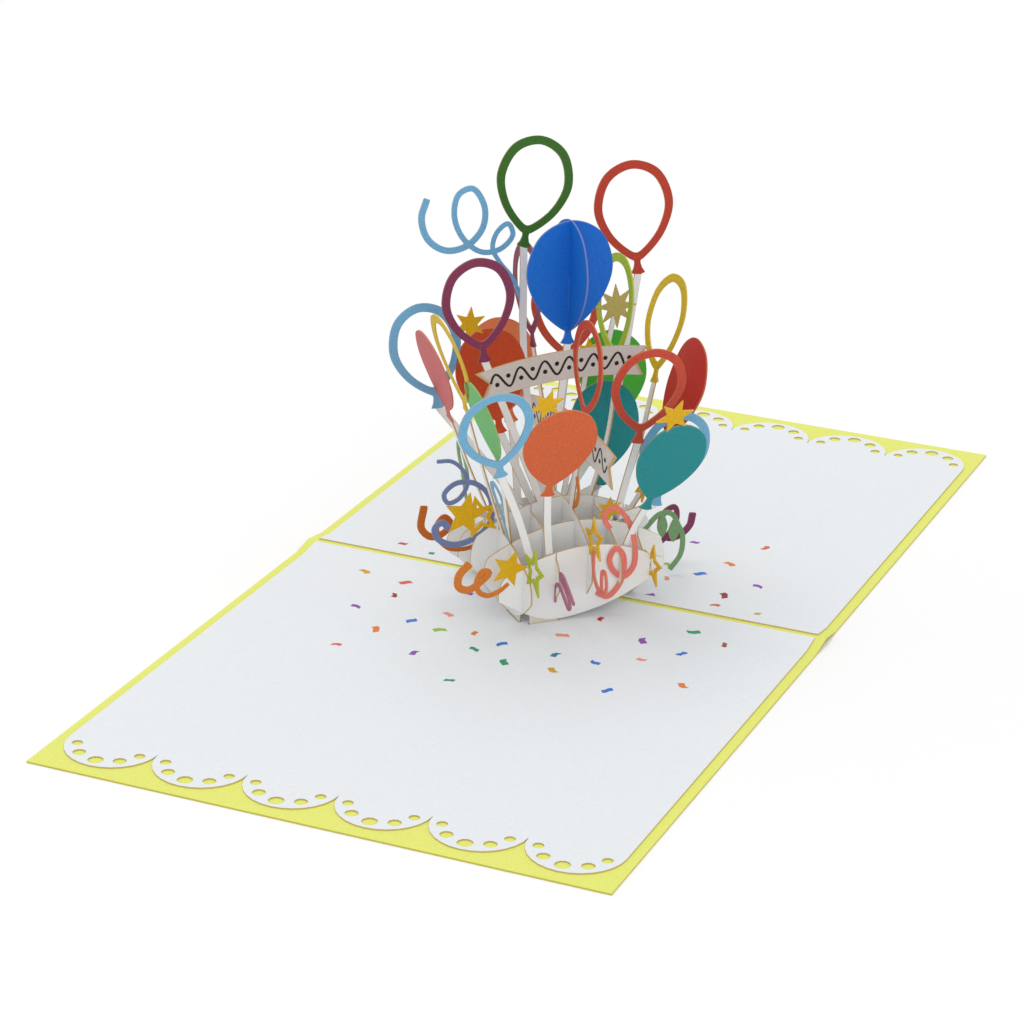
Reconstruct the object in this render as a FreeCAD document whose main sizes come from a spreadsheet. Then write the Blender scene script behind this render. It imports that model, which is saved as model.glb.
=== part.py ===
import FreeCAD, Part
import os
import math
from FreeCAD import Vector, Rotation, Placement

# A pop-up greeting card, open flat. Millimetres. X runs along the fold, the far panel
# lies towards +Y, and Z = 0 is the table. The pop-up is an egg-crate of ten slotted
# paper slices: five "a" slices rise to the right-hand back, five "b" slices fall to the
# right-hand front. Each slice is one flat sheet with a boat-shaped foot, stems, balloons,
# stars and streamers, and the outer ones fan outwards from a bend above the foot.

os.makedirs("parts", exist_ok=True)
doc = FreeCAD.newDocument("pop_up_card")

# Driving sizes
sheet = doc.addObject("Spreadsheet::Sheet", "Sizes")
SIZES = [
    ("card_width", 150.0), ("panel_depth", 150.0), ("cover_stock", 0.4),
    ("liner_stock", 0.4), ("slice_stock", 0.4), ("ridge_height", 1.2),
    ("ridge_reach", 8.0), ("liner_side_margin", 2.7), ("liner_fold_gap", 1.2),
    ("liner_end_margin", 4.0), ("scallop_count", 6), ("scallop_hole_inset", 3.1),
    ("hole_small", 2.8), ("hole_medium", 3.4), ("hole_large", 4.0),
    ("slice_pitch", 9.0), ("slice_turn", 45.0), ("mid_lean", 10.0), ("outer_lean", 20.0),
    ("big_balloon_up", 61.0), ("outer_foot_top", 21.0), ("mid_foot_top", 24.5), ("centre_foot_top", 28.0),
    ("foot_bottom", 2.6), ("wing_reach", 26.0), ("wing_height", 8.5),
    ("slot_height", 9.0), ("slot_clearance", 0.05), ("tab_offset", 12.0),
    ("tab_width", 8.0), ("tab_clearance", 0.3), ("balloon_width", 20.0),
    ("balloon_height", 25.0), ("ring_stroke", 2.3), ("knot_height", 3.6),
    ("knot_width", 4.0), ("neck_width", 1.9), ("stem_width", 2.4),
    ("stem_overlap", 0.8), ("big_balloon_width", 24.0), ("big_balloon_height", 30.0),
    ("streamer_width", 1.5), ("twig_width", 1.5),
]
for row, (name, value) in enumerate(SIZES, start=1):
    sheet.set("A%d" % row, name)
    sheet.set("B%d" % row, str(value))
    sheet.setAlias("B%d" % row, name)
doc.recompute()


def size(name):
    return float(sheet.get(name))


STOCK = size("slice_stock")
COVER_TOP = size("cover_stock")
LINER_TOP = COVER_TOP + size("liner_stock")
FOOT_BOTTOM = size("foot_bottom")
PITCH = size("slice_pitch")
LEANS = {0: 0.0, 1: size("mid_lean"), 2: size("outer_lean")}
FOOT_TOPS = {0: size("centre_foot_top"), 1: size("mid_foot_top"), 2: size("outer_foot_top")}
BALLOON = (size("balloon_width"), size("balloon_height"))
BIG_BALLOON = (size("big_balloon_width"), size("big_balloon_height"))


# Sketch helpers
def origin_plane(body, role):
    return next(f for f in body.Origin.OriginFeatures if f.Role == role)


def new_sketch(body, label, role, offset=None):
    sketch = body.newObject("Sketcher::SketchObject", label)
    sketch.AttachmentSupport = [(origin_plane(body, role), "")]
    sketch.MapMode = "FlatFace"
    if offset is not None:
        sketch.AttachmentOffset = offset
    return sketch


def add_polygon(sketch, points):
    corners = [Vector(x, y, 0) for x, y in points]
    edges = [Part.LineSegment(a, b) for a, b in zip(corners, corners[1:] + corners[:1])]
    sketch.addGeometry(edges, False)


def smooth_loop(points, per_span=2):
    """Smooth closed outline through the key points, as short straight edges."""
    curve = Part.BSplineCurve()
    curve.interpolate([Vector(x, y, 0) for x, y in points], PeriodicFlag=True)
    steps = per_span * len(points)
    first, last = curve.FirstParameter, curve.LastParameter
    edge = [curve.value(first + (last - first) * k / steps) for k in range(steps)]
    return [(p.x, p.y) for p in edge]


def arc_points(start, middle, end, edges=6):
    """Arc through three points, as short straight edges."""
    arc = Part.Arc(Vector(*start, 0), Vector(*middle, 0), Vector(*end, 0))
    return [(p.x, p.y) for p in arc.toShape().discretize(edges + 1)]


def flat_face(points):
    corners = [Vector(x, y, 0) for x, y in points]
    return Part.Face(Part.makePolygon(corners + corners[:1]))


def outline_edges(faces):
    """Border of overlapping flat faces joined into one."""
    joined = faces[0].multiFuse(faces[1:]) if len(faces) > 1 else faces[0]
    uses = {}
    for face in joined.Faces:
        for edge in face.Edges:
            uses.setdefault(edge.hashCode(), []).append(edge)
    border = [edges[0] for edges in uses.values() if len(edges) == 1]
    return [Part.LineSegment(e.Vertexes[0].Point, e.Vertexes[1].Point) for e in border]


def pad(body, sketch, label, length_name, both_sides=True):
    feature = body.newObject("PartDesign::Pad", label)
    feature.Profile = sketch
    feature.setExpression("Length", "Sizes." + length_name)
    feature.SideType = "Symmetric" if both_sides else "One side"
    sketch.Visibility = False
    return feature


def pocket_through(body, sketch, label):
    feature = body.newObject("PartDesign::Pocket", label)
    feature.Profile = sketch
    feature.Type = "ThroughAll"
    feature.SideType = "Symmetric"
    sketch.Visibility = False
    return feature


def new_body(name):
    body = doc.addObject("PartDesign::Body", name)
    body.Label = name
    return body


# Flat outlines, drawn round (0, 0) and then turned and moved in the slice's own plane
def placed(points, at, tilt_deg):
    c, s = math.cos(math.radians(tilt_deg)), math.sin(math.radians(tilt_deg))
    return [(at[0] + x * c + y * s, at[1] - x * s + y * c) for x, y in points]


def balloon_outline(width, height):
    """Egg-shaped bulb that draws in to a short neck at the bottom."""
    w, h = width / 2.0, height / 2.0
    side = [(0.70 * w, 0.76 * h), (w, 0.12 * h), (0.76 * w, -0.46 * h), (0.28 * w, -0.88 * h)]
    left = [(-x, y) for x, y in reversed(side)]
    return [(0, h)] + side + [(0, -h)] + left


def disc_outline(diameter, facets=10):
    angles = [2 * math.pi * (k + 0.5) / facets for k in range(facets)]
    return [(diameter / 2 * math.cos(a), diameter / 2 * math.sin(a)) for a in angles]


def star_outline(points, radius, inner_share=0.45):
    outline = []
    for k in range(2 * points):
        r = radius if k % 2 == 0 else radius * inner_share
        a = math.pi * k / points
        outline.append((r * math.sin(a), r * math.cos(a)))
    return outline


def spline_samples(points, per_span=2):
    """Points and unit normals along a smooth curve through the key points."""
    curve = Part.BSplineCurve()
    curve.interpolate([Vector(x, y, 0) for x, y in points])
    steps = per_span * (len(points) - 1)
    first, last = curve.FirstParameter, curve.LastParameter
    out = []
    for k in range(steps + 1):
        u = first + (last - first) * k / steps
        p, t = curve.value(u), curve.tangent(u)[0]
        out.append(((p.x, p.y), (-t.y, t.x)))
    return out


def strip_outline(samples, widths):
    left, right = [], []
    for ((x, y), (nx, ny)), w in zip(samples, widths):
        left.append((x + nx * w / 2, y + ny * w / 2))
        right.append((x - nx * w / 2, y - ny * w / 2))
    return left + right[::-1]


class Slice:
    """One cut sheet. Family "a" or "b", step -2 to 2 from the middle of the lattice."""

    def __init__(self, name, family, step, left=None, right=None):
        self.name, self.family, self.step = name, family, step
        self.side = (step > 0) - (step < 0)
        self.lean = LEANS[abs(step)]
        self.top = FOOT_TOPS[abs(step)]
        self.body = new_body(name)
        self.foot_faces, self.leaf_faces = [], []
        turn = size("slice_turn") * (1 if family == "a" else -1)
        shift = Rotation(Vector(0, 0, 1), turn).multVec(Vector(0, PITCH * step, 0))
        self.body.Placement = Placement(shift, Rotation(Vector(0, 0, 1), turn))
        self.ends = (-size("wing_reach") if left is None else left,
                     size("wing_reach") if right is None else right)
        self.foot()

    def add(self, outline, upright=False, hole=None):
        """One part of the sheet: upright in the foot, leaning above the bend line."""
        face = flat_face(outline)
        if hole is not None:
            face = face.cut(flat_face(hole))
        (self.foot_faces if upright else self.leaf_faces).append(face)

    def cut_out(self):
        """Join the parts of each plane into one profile, then cut the sheet from stock."""
        lean = Rotation(Vector(1, 0, 0), -self.side * self.lean)
        for kind, faces, offset in (
                ("foot", self.foot_faces, None),
                ("leaf", self.leaf_faces, Placement(Vector(0, self.top, 0), lean))):
            if faces:
                sketch = new_sketch(self.body, self.name + "_" + kind, "XZ_Plane", offset)
                sketch.addGeometry(outline_edges(faces), False)
                pad(self.body, sketch, sketch.Label + "_pad", "slice_stock").Refine = False

    # Boat-shaped foot: flat keel, swept-up wing tips, concave shoulders
    def foot(self):
        sides = []
        for end in self.ends:
            low, bulge, tip, top, shoulder = self.foot_side(end, abs(end) > 0.6 * size("wing_reach"))
            sides.append(arc_points(low, bulge, tip) + arc_points(tip, shoulder, top)[1:])
        left, right = sides
        self.add(left + right[::-1], upright=True)

    def foot_side(self, end, full):
        sign = 1 if end > 0 else -1
        reach = abs(end)
        tip_height = size("wing_height") if full else 0.7 * self.top
        low = (sign * 0.42 * reach, FOOT_BOTTOM)
        tip = (end, tip_height)
        top = (sign * 0.42 * reach, self.top)
        bulge = (sign * 0.76 * reach, FOOT_BOTTOM + 0.26 * (tip_height - FOOT_BOTTOM))
        shoulder = (sign * 0.72 * reach, tip_height + 0.57 * (self.top - tip_height))
        return low, bulge, tip, top, shoulder

    # Tab that stands on the cover through a slit in the liner
    def tab(self, centre):
        half = size("tab_width") / 2
        self.add([(centre - half, COVER_TOP), (centre + half, COVER_TOP),
                  (centre + half, FOOT_BOTTOM + 1.0), (centre - half, FOOT_BOTTOM + 1.0)],
                 upright=True)

    def stem(self, root, end, tilt, width=None):
        """Thin curved strip from the top of the foot to the underside of a knot."""
        width = width or size("stem_width")
        start = (root, -size("stem_overlap"))
        rise = end[1] - start[1]
        c, s = math.cos(math.radians(tilt)), math.sin(math.radians(tilt))
        mid_low = (root + 0.10 * (end[0] - root), start[1] + 0.33 * rise)
        mid_high = (end[0] - s * 0.3 * rise, end[1] - c * 0.3 * rise)
        middle = ((mid_low[0] + mid_high[0]) / 2, (mid_low[1] + mid_high[1]) / 2)
        samples = spline_samples([start, middle, end], 3)
        self.add(strip_outline(samples, [width] * len(samples)))

    def balloon(self, at, tilt=0.0, root=None, ring=False, shape=BALLOON, knot=True):
        """Bulb centred at (along, up the leaf), solid or as a ring, with knot and stem."""
        width, height = shape
        c, s = math.cos(math.radians(tilt)), math.sin(math.radians(tilt))
        neck = (at[0] - s * height / 2, at[1] - c * height / 2)
        drop = size("knot_height")
        end = (neck[0] - s * drop, neck[1] - c * drop)
        if root is not None:
            self.stem(root, (end[0] + s * 0.5, end[1] + c * 0.5), tilt)
        if knot:
            half, top = size("knot_width") / 2, size("neck_width") / 2
            outline = [(-top, 0.9), (top, 0.9), (top, -0.5), (half, -drop + 0.4),
                       (0.4 * half, -drop), (-0.4 * half, -drop), (-half, -drop + 0.4), (-top, -0.5)]
            self.add(placed(outline, neck, tilt))
        hole = None
        if ring:
            stroke = size("ring_stroke")
            inner = balloon_outline(width - 2 * stroke, height - 2 * stroke)
            hole = smooth_loop(placed(inner, at, tilt))
        self.add(smooth_loop(placed(balloon_outline(width, height), at, tilt)), hole=hole)

    def star(self, at, radius, points=5, turn=0.0, outline=False, upright=False, root=None):
        if root is not None:
            self.stem(root, at, 0.0, width=size("twig_width"))
        hole = placed(star_outline(points, radius * 0.58), at, turn) if outline else None
        self.add(placed(star_outline(points, radius), at, turn), upright, hole)

    def streamer(self, key_points, width=None, taper=(1.0, 1.0), upright=False):
        """Curled streamer: a strip along a smooth curve, cut where it crosses itself."""
        width = width or size("streamer_width")
        samples = spline_samples(key_points, 3)
        count = len(samples)
        widths = [width * (taper[0] + (taper[1] - taper[0]) * k / (count - 1)) for k in range(count)]
        start = 0
        for k in range(1, count):
            if k == count - 1 or self.closes_on(samples[start:k + 2], 1.7 * width):
                self.add(strip_outline(samples[start:k + 1], widths[start:k + 1]), upright)
                start = k

    @staticmethod
    def closes_on(samples, gap):
        """True when the last sample has come round to an earlier one, nearer than the gap."""
        points = [point for point, normal in samples]
        travelled = 0.0
        for k in range(len(points) - 2, -1, -1):
            travelled += math.dist(points[k], points[k + 1])
            if travelled > 2.5 * gap and math.dist(points[k], points[-1]) < gap:
                return True
        return False

    def link(self, start, end, upright=True):
        """Short straight bar from the foot to a piece beside it."""
        middle = ((start[0] + end[0]) / 2, (start[1] + end[1]) / 2)
        samples = spline_samples([start, middle, end], 1)
        self.add(strip_outline(samples, [size("twig_width")] * len(samples)), upright)

    def drop(self, at):
        """Small leaf-shaped drop hanging in a streamer's bend."""
        self.add(smooth_loop(placed([(0, 3.6), (1.5, 0), (0, -3), (-1.5, 0)], at, 0)), upright=True)

    def banner(self, left, right, rise, height, notch=3.0):
        """Arched banner between two points, with notched ends."""
        (x0, y0), (x1, y1) = left, right
        span = math.hypot(x1 - x0, y1 - y0)
        angle = -math.degrees(math.atan2(y1 - y0, x1 - x0))
        radius = (span ** 2 / 4 + rise ** 2) / (2 * rise)
        half = math.asin(span / 2 / radius)
        middle = ((x0 + x1) / 2, (y0 + y1) / 2)

        def at_radius(r, a):
            return (r * math.sin(a), r * math.cos(a) - radius + rise)

        upper, lower = radius + height / 2, radius - height / 2
        cut = half - notch / radius
        upper_edge = arc_points(at_radius(upper, -half), at_radius(upper, 0), at_radius(upper, half))
        lower_edge = arc_points(at_radius(lower, half), at_radius(lower, 0), at_radius(lower, -half))
        ring = upper_edge + [at_radius(radius, cut)] + lower_edge + [at_radius(radius, -cut)]
        self.add(placed(ring, middle, angle))

    # Half-depth slots where the other family crosses the foot
    def slots(self):
        width = STOCK + 2 * size("slot_clearance")
        sketch = new_sketch(self.body, self.name + "_slots", "XZ_Plane")
        for other in range(-2, 3):
            along = PITCH * other * (1 if self.family == "a" else -1)
            if not self.ends[0] < along < self.ends[1]:
                continue
            low, high = FOOT_BOTTOM - 5, size("slot_height")
            if self.family == "a":
                on_wing = abs(along) > 0.6 * size("wing_reach")
                low, high = size("slot_height"), (0.8 if on_wing else 1.0) * self.top + 0.6
            add_polygon(sketch, [(along - width / 2, low), (along + width / 2, low),
                                 (along + width / 2, high), (along - width / 2, high)])
        pocket_through(self.body, sketch, sketch.Label + "_cut")


# Cover: one folded sheet with a low ridge where the fold lifts off the table
def folded_profile(sketch, near, far, underside, stock):
    """Strip profile in Y and Z from near to far, bent over the fold's ridge."""
    ridge, reach = size("ridge_height"), size("ridge_reach")

    def level(y):
        return ridge * max(0.0, 1 - abs(y) / reach)

    stops = [near] + [y for y in (-reach, 0.0, reach) if near < y < far] + [far]
    lower = [(y, underside + level(y)) for y in stops]
    add_polygon(sketch, lower + [(y, z + stock) for y, z in reversed(lower)])


DEPTH = size("panel_depth")
cover = new_body("cover")
profile = new_sketch(cover, "cover_profile", "YZ_Plane")
folded_profile(profile, -DEPTH, DEPTH, 0.0, size("cover_stock"))
pad(cover, profile, "cover_pad", "card_width")


# Liners: a white sheet on each panel, scalloped along its outer end
def liner(name, side):
    """side is -1 for the near panel and 1 for the far one."""
    body = new_body(name)
    half = size("card_width") / 2 - size("liner_side_margin")
    lobes = int(size("scallop_count"))
    radius = half / lobes
    outer = DEPTH - size("liner_end_margin")
    near, far = sorted((side * size("liner_fold_gap"), side * (outer + 0.5)))
    profile = new_sketch(body, name + "_profile", "YZ_Plane")
    folded_profile(profile, near, far, COVER_TOP, size("liner_stock"))
    feature = body.newObject("PartDesign::Pad", name + "_pad")
    feature.Profile = profile
    feature.setExpression("Length", "Sizes.card_width - 2 * Sizes.liner_side_margin")
    feature.SideType = "Symmetric"

    centre_y = side * (outer - radius)
    edge_y = side * (outer + 1.0)
    waste = new_sketch(body, name + "_scallops", "XY_Plane")
    scallops = []
    for k in range(lobes):
        middle = -half + radius * (2 * k + 1)
        lobe = [(middle - radius, centre_y), (middle, side * outer), (middle + radius, centre_y)]
        scallops += arc_points(*lobe, edges=14)[:-1]
    border = [(half, centre_y), (half + 1.0, centre_y), (half + 1.0, edge_y),
              (-half - 1.0, edge_y), (-half - 1.0, centre_y)]
    add_polygon(waste, scallops + border)
    pocket_through(body, waste, name + "_scallops_cut")

    holes = new_sketch(body, name + "_holes", "XY_Plane")
    ring = radius - size("scallop_hole_inset")
    pattern = [(18, "hole_small"), (52, "hole_medium"), (90, "hole_large"),
               (128, "hole_medium"), (162, "hole_small")]
    for k in range(lobes):
        middle = -half + radius * (2 * k + 1)
        for angle, kind in pattern:
            a = math.radians(angle)
            at = (middle - ring * math.cos(a), centre_y + side * ring * math.sin(a))
            add_polygon(holes, [(at[0] + x, at[1] + y) for x, y in disc_outline(size(kind))])
    pocket_through(body, holes, name + "_holes_cut")

    # Slits for the tabs of the two outermost slices that stand on this panel
    slits = new_sketch(body, name + "_slits", "XY_Plane")
    gap = size("tab_clearance")
    long_half, short_half = size("tab_width") / 2 + gap, STOCK / 2 + gap
    offset, along = side * 2 * PITCH, side * size("tab_offset")
    for turn, shift in ((45, along), (-45, -along)):
        corners = []
        for u, v in ((-1, -1), (1, -1), (1, 1), (-1, 1)):
            p = Vector(shift + u * long_half, offset + v * short_half, 0)
            q = Rotation(Vector(0, 0, 1), size("slice_turn") * turn / 45).multVec(p)
            corners.append((q.x, q.y))
        add_polygon(slits, corners)
    pocket_through(body, slits, name + "_slits_cut")
    return body


liner("liner_near", -1)
liner("liner_far", 1)

# Slice a1, nearest the viewer: orange, light blue ring and teal balloons
a1 = Slice("slice_a1", "a", -2, right=7.0)
a1.tab(-size("tab_offset"))
a1.balloon(at=(-13.5, 36.0), tilt=2, root=-4.5)
a1.balloon(at=(-32.5, 43.5), tilt=-13, root=-7.5, ring=True)
a1.balloon(at=(18.5, 26.0), tilt=14, root=1.8)
a1.star(at=(-20.0, 50.5), radius=4.6, points=6, turn=10)
a1.star(at=(16.5, 41.5), radius=4.7, points=6, turn=15)
a1.star(at=(-22.0, 17.2), radius=5.2, turn=20, upright=True)
a1.streamer([(-22.5, 13), (-25, 11.2), (-28, 10.5), (-30.5, 12), (-31, 14.8), (-29.5, 17.4), (-27.7, 16.9),
             (-30, 14.5), (-33.5, 12.8), (-36, 14), (-36, 17), (-33.5, 19.8)],
            taper=(0.8, 1.6), upright=True)
a1.streamer([(5.6, 25.4), (4.3, 27.4), (4.4, 29.8), (6.8, 31), (9.8, 28.3), (11.9, 24.2), (13.2, 18.5),
             (12.8, 13.2), (10.2, 10.9), (7.3, 12.8), (6, 16.4), (7.6, 19.2), (9.7, 17.4), (10.2, 12.6),
             (8.8, 8.4), (5.8, 5.8), (3, 7.2)], upright=True)

# Slice a2: coral ring, light blue ring
a2 = Slice("slice_a2", "a", -1)
a2.balloon(at=(16.5, 38.0), tilt=4, root=4.5, ring=True)
a2.balloon(at=(26.0, 17.0), tilt=12, root=7.5, ring=True)
a2.star(at=(9.5, 2.0), radius=3.8, points=6)

BIG_UP = size("big_balloon_up")

# Slice a3, the middle one: big blue balloon, plum ring and the banner
a3 = Slice("slice_a3", "a", 0)
a3.balloon(at=(0.0, BIG_UP), root=-4.5, shape=BIG_BALLOON)
a3.balloon(at=(-25.0, 56.5), tilt=-7, root=-6.0, ring=True)
a3.banner(left=(-24.5, 33.0), right=(22.5, 35.5), rise=2.5, height=8.0)
a3.star(at=(-27.5, 26.0), radius=6.3, turn=12, upright=True)
a3.star(at=(-23.5, 25.0), radius=6.3, turn=-14, outline=True, upright=True)
a3.link((-10.5, 24.5), (-21.6, 24.7))
a3.streamer([(-35.5, 42), (-31.5, 41.5), (-28, 38), (-27.2, 34.5), (-29.5, 30.8), (-32.5, 30),
             (-33.6, 32.5), (-30.5, 35.2), (-25.5, 34.8), (-21.5, 31.5), (-20, 27), (-21, 22),
             (-25.5, 18.8), (-31, 18), (-35.2, 20.3), (-36, 23.2), (-34, 24.6), (-32.3, 23)],
            taper=(0.7, 1.3), upright=True)
a3.streamer([(21.5, 9.5), (22.5, 13.5), (25, 16), (28, 18.8), (30.5, 19.2), (32.5, 18.2), (34, 15.3),
             (35.5, 12), (35.2, 6.5), (32.4, 2.6)], upright=True)
for drop in ((25.6, 11.2), (29.4, 15.2), (32.8, 13.4)):
    a3.drop(at=drop)

# Slice a4: tall green and red rings, light blue ring, orange-red and teal balloons
a4 = Slice("slice_a4", "a", 1)
a4.balloon(at=(-0.5, 83.5), tilt=13, root=-2.0, ring=True)
a4.balloon(at=(27.5, 74.5), tilt=-2, root=4.5, ring=True)
a4.balloon(at=(-33.0, 43.0), tilt=-10, root=-8.0, ring=True)
a4.balloon(at=(-15.0, 34.5), tilt=-6, root=-5.0)
a4.balloon(at=(16.5, 17.0), tilt=6, root=7.0)
a4.star(at=(-20.5, 48.5), radius=3.8, points=6, turn=8)
a4.star(at=(22.8, 49.0), radius=4.8, points=8, root=5.5)
a4.star(at=(13.0, 38.0), radius=3.6, points=6, root=3.8)
a4.streamer([(-31, 82), (-32.6, 77.5), (-31.2, 72), (-26.5, 68.6), (-20.5, 69.2), (-15.8, 73.5),
             (-15, 79), (-18, 84), (-22, 82.8), (-23.5, 77.5), (-21.5, 71.5), (-16.5, 67.3),
             (-11, 67.6), (-7.4, 71), (-8.6, 74), (-11.8, 72), (-13.2, 68), (-11.5, 64.2),
             (-8, 59.5), (-5.5, 53)], taper=(1.3, 0.8))
a4.streamer([(-20.5, 13), (-24.5, 12.4), (-28.6, 13.2), (-31.6, 16.4), (-32, 20.2), (-30, 22.2),
             (-28.2, 20.2), (-30.2, 17.6), (-33.6, 17), (-36.4, 19.8), (-35.8, 25.5)],
            taper=(0.8, 1.5), upright=True)
a4.streamer([(21.5, 7), (26.5, 5), (31.5, 5.5), (35.5, 8.8), (37.8, 13), (37, 16.5), (34, 15.2),
             (33, 11.5), (35, 7.8), (38.5, 7.8), (41.8, 10.5), (42.5, 13.5)],
            taper=(0.8, 1.5), upright=True)

# Slice a5, farthest: red ring, green and salmon balloons
a5 = Slice("slice_a5", "a", 2)
a5.tab(size("tab_offset"))
a5.balloon(at=(14.0, 49.0), tilt=6, root=4.5, ring=True)
a5.balloon(at=(25.5, 30.0), tilt=12, root=8.0)
a5.balloon(at=(-5.8, 36.5), tilt=-3, root=-5.5)

# Slice b1, at the left: pink and green balloons, yellow ring
b1 = Slice("slice_b1", "b", -2, right=21.0)
b1.tab(size("tab_offset"))
b1.balloon(at=(-7.5, 45.5), tilt=10, root=-4.5)
b1.balloon(at=(14.5, 58.5), tilt=12, root=2.5, ring=True)
b1.balloon(at=(25.5, 43.5), tilt=3, root=6.8, shape=(18.0, 23.0))
b1.star(at=(25.0, 18.5), radius=6.8, turn=5, outline=True, upright=True)
b1.link((17.0, 9.5), (22.2, 15.8))
b1.streamer([(-17, 14.5), (-21, 16.5), (-24, 20.5), (-27.5, 27), (-30.5, 31.5), (-30.8, 34),
             (-27.5, 32.5), (-24.5, 29), (-22.5, 25)], upright=True)
b1.streamer([(7.2, -1.5), (9.2, 6), (8.6, 12), (9.4, 17.5), (12.5, 19.2), (14.6, 16.5), (12.8, 10),
             (9.5, 3)])

# Slice b2: streamers at the front
b2 = Slice("slice_b2", "b", -1, right=21.0)
b2.streamer([(18.5, 9.5), (23, 12), (27, 11.5), (26, 7.8), (22.6, 6.6), (24.2, 3.8), (28.5, 4.0)],
            upright=True)

# Slice b3, the middle one: narrow red ring, mauve ring and the lower banner
b3 = Slice("slice_b3", "b", 0, right=21.0)
b3.balloon(at=(16.5, 41.5), tilt=7, root=6.0, ring=True)
b3.balloon(at=(-28.0, 49.0), tilt=-18, root=-6.0, ring=True)
b3.banner(left=(-26.0, 14.5), right=(33.0, 18.5), rise=3.5, height=9.5)
b3.streamer([(9.5, 36.5), (10.6, 33), (9, 29), (5, 26.8)], upright=True)
b3.star(at=(22.0, 24.0), radius=6.2, turn=-8, outline=True, upright=True)
b3.link((16.0, 12.0), (20.0, 21.4))
b3.streamer([(22, 20.5), (22.2, 15.5), (24, 12.5), (28, 11), (30.6, 13.5), (29.6, 17.5), (27.6, 17),
             (27.4, 12.2)], upright=True)

# Slice b4: yellow-green ring
b4 = Slice("slice_b4", "b", 1, right=16.5)
b4.balloon(at=(-11.0, 52.0), tilt=-30, root=-3.5, ring=True, shape=(22.0, 28.0))

# Slice b5, at the right: yellow ring and red balloon
b5 = Slice("slice_b5", "b", 2, right=8.0)
b5.tab(-size("tab_offset"))
b5.balloon(at=(-16.0, 50.5), tilt=-22, root=-4.5, ring=True)
b5.balloon(at=(5.0, 40.5), tilt=-10, root=1.5)
b5.star(at=(14.0, 14.0), radius=6.2, turn=4, outline=True, upright=True)
b5.link((5.5, 11.0), (11.0, 13.6))
b5.star(at=(5.0, 9.5), radius=4.5, turn=10, outline=True)
b5.link((2.4, -1.2), (4.2, 7.4), upright=False)

for piece in (a1, a2, a3, a4, a5, b1, b2, b3, b4, b5):
    piece.cut_out()
    piece.slots()


# The big balloon's cross leaf: a second oval on the other diagonal. Each oval is slotted to its
# middle, this one from below and the one on slice a3 from above
def half_slot(body, label, low, high):
    half = STOCK / 2 + size("slot_clearance")
    sketch = new_sketch(body, label, "XZ_Plane")
    add_polygon(sketch, [(-half, low), (half, low), (half, high), (-half, high)])
    pocket_through(body, sketch, label + "_cut")


big_middle = size("centre_foot_top") + BIG_UP
big_half = size("big_balloon_height") / 2
cross = new_body("balloon_cross")
cross.Placement = Placement(Vector(0, 0, big_middle), Rotation(Vector(0, 0, 1), -size("slice_turn")))
oval = new_sketch(cross, "cross_oval", "XZ_Plane")
add_polygon(oval, smooth_loop(balloon_outline(*BIG_BALLOON)))
pad(cross, oval, "cross_pad", "slice_stock")
half_slot(cross, "cross_slot", -big_half - 1, 0.0)
half_slot(a3.body, "big_balloon_slot", big_middle, big_middle + big_half + 1)

doc.recompute()

for item in doc.Objects:
    bad = [s for s in item.State if s in ("Invalid", "Error")]
    if bad:
        raise RuntimeError("%s is %s" % (item.Name, bad))
    if hasattr(item, "Shape") and (item.Shape.isNull() or not item.Shape.isValid()):
        if item.isDerivedFrom("PartDesign::Feature") or item.isDerivedFrom("PartDesign::Body"):
            raise RuntimeError("%s has no valid shape" % item.Name)

for body in doc.Objects:
    if body.isDerivedFrom("PartDesign::Body"):
        if len(body.Shape.Solids) != 1:
            raise RuntimeError("%s has %d solids" % (body.Label, len(body.Shape.Solids)))
        body.Shape.exportStep("parts/%s.step" % body.Label)
        print(body.Label, len(body.Shape.Faces), round(body.Shape.Volume, 2))
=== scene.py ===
import math

import bmesh
import bpy
from mathutils import Matrix, Vector


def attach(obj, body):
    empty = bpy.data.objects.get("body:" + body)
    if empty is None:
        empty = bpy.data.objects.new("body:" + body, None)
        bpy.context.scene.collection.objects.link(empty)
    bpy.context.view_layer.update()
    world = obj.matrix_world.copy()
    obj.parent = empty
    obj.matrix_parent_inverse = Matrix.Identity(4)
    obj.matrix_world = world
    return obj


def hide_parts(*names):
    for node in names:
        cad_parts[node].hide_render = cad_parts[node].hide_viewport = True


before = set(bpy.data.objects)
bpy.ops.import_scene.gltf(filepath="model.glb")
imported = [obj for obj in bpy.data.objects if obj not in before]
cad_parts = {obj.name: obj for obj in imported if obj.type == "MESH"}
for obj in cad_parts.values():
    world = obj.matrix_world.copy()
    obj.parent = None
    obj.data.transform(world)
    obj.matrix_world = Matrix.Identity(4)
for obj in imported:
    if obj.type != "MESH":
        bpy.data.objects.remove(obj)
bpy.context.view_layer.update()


# The cover is one sheet of yellow dyed card, creased across the middle. The blade that trimmed it
# left clean rims. Painted shade: their upright walls are coloured a shade darker than the face.
mm = 0.001
fibre_scale, fibre_detail = 1900.0, 4.0
cloud_scale, cloud_detail = 55.0, 2.0
tooth_depth = 0.05 * mm


def ink(red, green, blue):
    """Linear colour of a paint chart's 0 to 255 values."""
    def linear(level):
        level = level / 255.0
        return level / 12.92 if level <= 0.04045 else ((level + 0.055) / 1.055) ** 2.4

    return (linear(red), linear(green), linear(blue), 1.0)


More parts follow.
